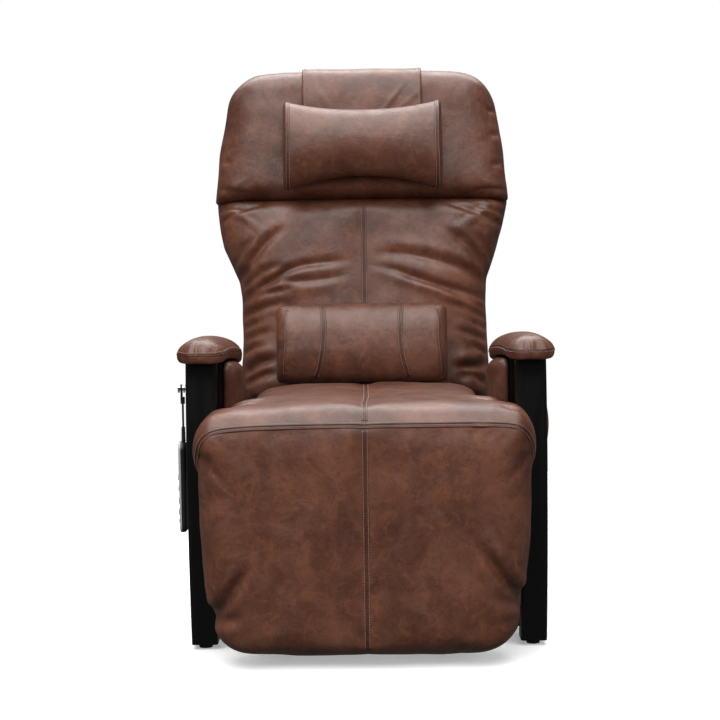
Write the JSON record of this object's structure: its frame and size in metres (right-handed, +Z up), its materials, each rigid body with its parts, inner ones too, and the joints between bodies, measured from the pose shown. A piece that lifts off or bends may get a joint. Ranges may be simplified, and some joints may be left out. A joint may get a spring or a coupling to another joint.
{
  "type": "reclining massage chair",
  "caption": "Upright zero-gravity style massage recliner with leather cushions, black wooden side frames, powered back and leg rest, head and lumbar pillows and a hanging wired remote.",
  "frame": {"origin": "centre of the bounding box at the floor", "axes": "+X towards the sitter's left, -Y is the way the chair faces, +Z up"},
  "size_m": [0.773, 0.9183, 1.2202],
  "materials": {
    "black_plastic": "matt",
    "black_steel": "black powder coat",
    "black_wood": "satin black lacquer",
    "chrome": "polished",
    "foam": "leather-covered foam",
    "leather": "satin mottled brown",
    "plywood": "plain",
    "rubber": "matt",
    "silver_plastic": "satin silver",
    "zinc": "zinc plated"
  },
  "bodies": {
    "frame": {"right_front_leg": "black_wood", "right_rear_leg": "black_wood", "right_arm_rail": "black_wood", "right_lower_rail": "black_wood", "right_side_board": "black_wood", "right_outer_pad": "foam", "right_inner_pad": "foam", "right_arm_pad": "foam", "left_front_leg": "black_wood", "left_rear_leg": "black_wood", "left_arm_rail": "black_wood", "left_lower_rail": "black_wood", "left_side_board": "black_wood", "left_outer_pad": "foam", "left_inner_pad": "foam", "left_arm_pad": "foam", "front_cross_tube": "black_steel", "rear_cross_tube": "black_steel", "seat_pivot_tube": "black_steel", "floor_glides": "rubber", "frame_bolts": "zinc", "control_box": "black_plastic", "mains_inlet": "black_plastic", "remote_stud": "chrome", "cable_gland": "black_plastic", "handset_lead": "rubber"},
    "seat": {"right_seat_plate": "black_steel", "left_seat_plate": "black_steel", "seat_front_tube": "black_steel", "seat_rear_tube": "black_steel", "seat_deck": "plywood", "seat_cushion": "foam"},
    "back": {"right_back_tube": "black_steel", "left_back_tube": "black_steel", "back_cross_tubes": "black_steel", "back_shell": "foam", "back_cushion": "foam", "massage_motors": "black_plastic", "head_cushion": "foam", "head_flap": "leather"},
    "head_rest": {"head_pillow": "foam"},
    "lumbar_rest": {"lumbar_pillow": "foam"},
    "leg": {"right_leg_bar": "black_steel", "left_leg_bar": "black_steel", "leg_cross_tubes": "black_steel", "calf_cushion": "foam"},
    "back_drive": {"back_drive_body": "black_plastic"},
    "back_ram": {"back_drive_rod": "zinc"},
    "leg_drive": {"leg_drive_body": "black_plastic"},
    "leg_ram": {"leg_drive_rod": "zinc"},
    "remote": {"remote_hanger": "black_plastic", "strain_relief": "rubber", "remote_cord": "rubber", "remote_shell": "black_plastic", "remote_face": "silver_plastic"},
    "key_1": {"remote_key_1": "silver_plastic"},
    "key_2": {"remote_key_2": "silver_plastic"},
    "key_3": {"remote_key_3": "silver_plastic"},
    "key_4": {"remote_key_4": "silver_plastic"},
    "power_key": {"remote_power_key": "black_plastic"}
  },
  "joints": [
    {"name": "seat_tilt", "type": "hinge", "parent": "frame", "child": "seat", "pos_m": [0, -0.04, 0.358], "axis": [-1, 0, 0], "range_deg": [0, 10.02]},
    {"name": "back_recline", "type": "hinge", "parent": "seat", "child": "back", "pos_m": [0, 0.225, 0.4], "axis": [-1, 0, 0], "range_deg": [0, 45]},
    {"name": "leg_lift", "type": "hinge", "parent": "seat", "child": "leg", "pos_m": [0, -0.392, 0.455], "axis": [-1, 0, 0], "range_deg": [0, 75]},
    {"name": "back_drive_swing", "type": "hinge", "parent": "seat", "child": "back_drive", "pos_m": [-0.06, -0.2, 0.27], "axis": [-1, 0, 0], "range_deg": [-0.3365, 0]},
    {"name": "back_drive_stroke", "type": "slide", "parent": "back_drive", "child": "back_ram", "axis": [0, 0.9998, 0.0208], "range_m": [-0.09957, 0]},
    {"name": "leg_drive_swing", "type": "hinge", "parent": "seat", "child": "leg_drive", "pos_m": [0.06, 0.1, 0.24], "axis": [-1, 0, 0], "range_deg": [-3.87, 0]},
    {"name": "leg_drive_stroke", "type": "slide", "parent": "leg_drive", "child": "leg_ram", "axis": [0, -0.9577, 0.2878], "range_m": [0, 0.12966]},
    {"name": "head_pillow_slide", "type": "slide", "parent": "back", "child": "head_rest", "axis": [0, 0.2504, 0.9681], "range_m": [-0.08, 0.06]},
    {"name": "lumbar_pillow_slide", "type": "slide", "parent": "back", "child": "lumbar_rest", "axis": [0, 0.2504, 0.9681], "range_m": [0, 0.12]},
    {"name": "remote_swing", "type": "hinge", "parent": "frame", "child": "remote", "pos_m": [-0.381, -0.205, 0.536], "axis": [1, 0, 0], "range_deg": [-35, 35]},
    {"name": "key_1_press", "type": "slide", "parent": "remote", "child": "key_1", "axis": [1, 0, 0], "range_m": [0, 0.0012], "stiffness_N_per_m": 900},
    {"name": "key_2_press", "type": "slide", "parent": "remote", "child": "key_2", "axis": [1, 0, 0], "range_m": [0, 0.0012], "stiffness_N_per_m": 900},
    {"name": "key_3_press", "type": "slide", "parent": "remote", "child": "key_3", "axis": [1, 0, 0], "range_m": [0, 0.0012], "stiffness_N_per_m": 900},
    {"name": "key_4_press", "type": "slide", "parent": "remote", "child": "key_4", "axis": [1, 0, 0], "range_m": [0, 0.0012], "stiffness_N_per_m": 900},
    {"name": "power_key_press", "type": "slide", "parent": "remote", "child": "power_key", "axis": [1, 0, 0], "range_m": [0, 0.0012], "stiffness_N_per_m": 900}
  ],
  "couplings": [
    {"joint": "seat_tilt", "follows": "back_recline", "ratio": 0.22222},
    {"joint": "back_drive_swing", "follows": "back_recline", "ratio": -0.007033},
    {"joint": "back_drive_stroke", "follows": "back_recline", "m_per_rad": -0.12665},
    {"joint": "leg_drive_swing", "follows": "leg_lift", "ratio": -0.051395},
    {"joint": "leg_drive_stroke", "follows": "leg_lift", "m_per_rad": 0.098975}
  ]
}
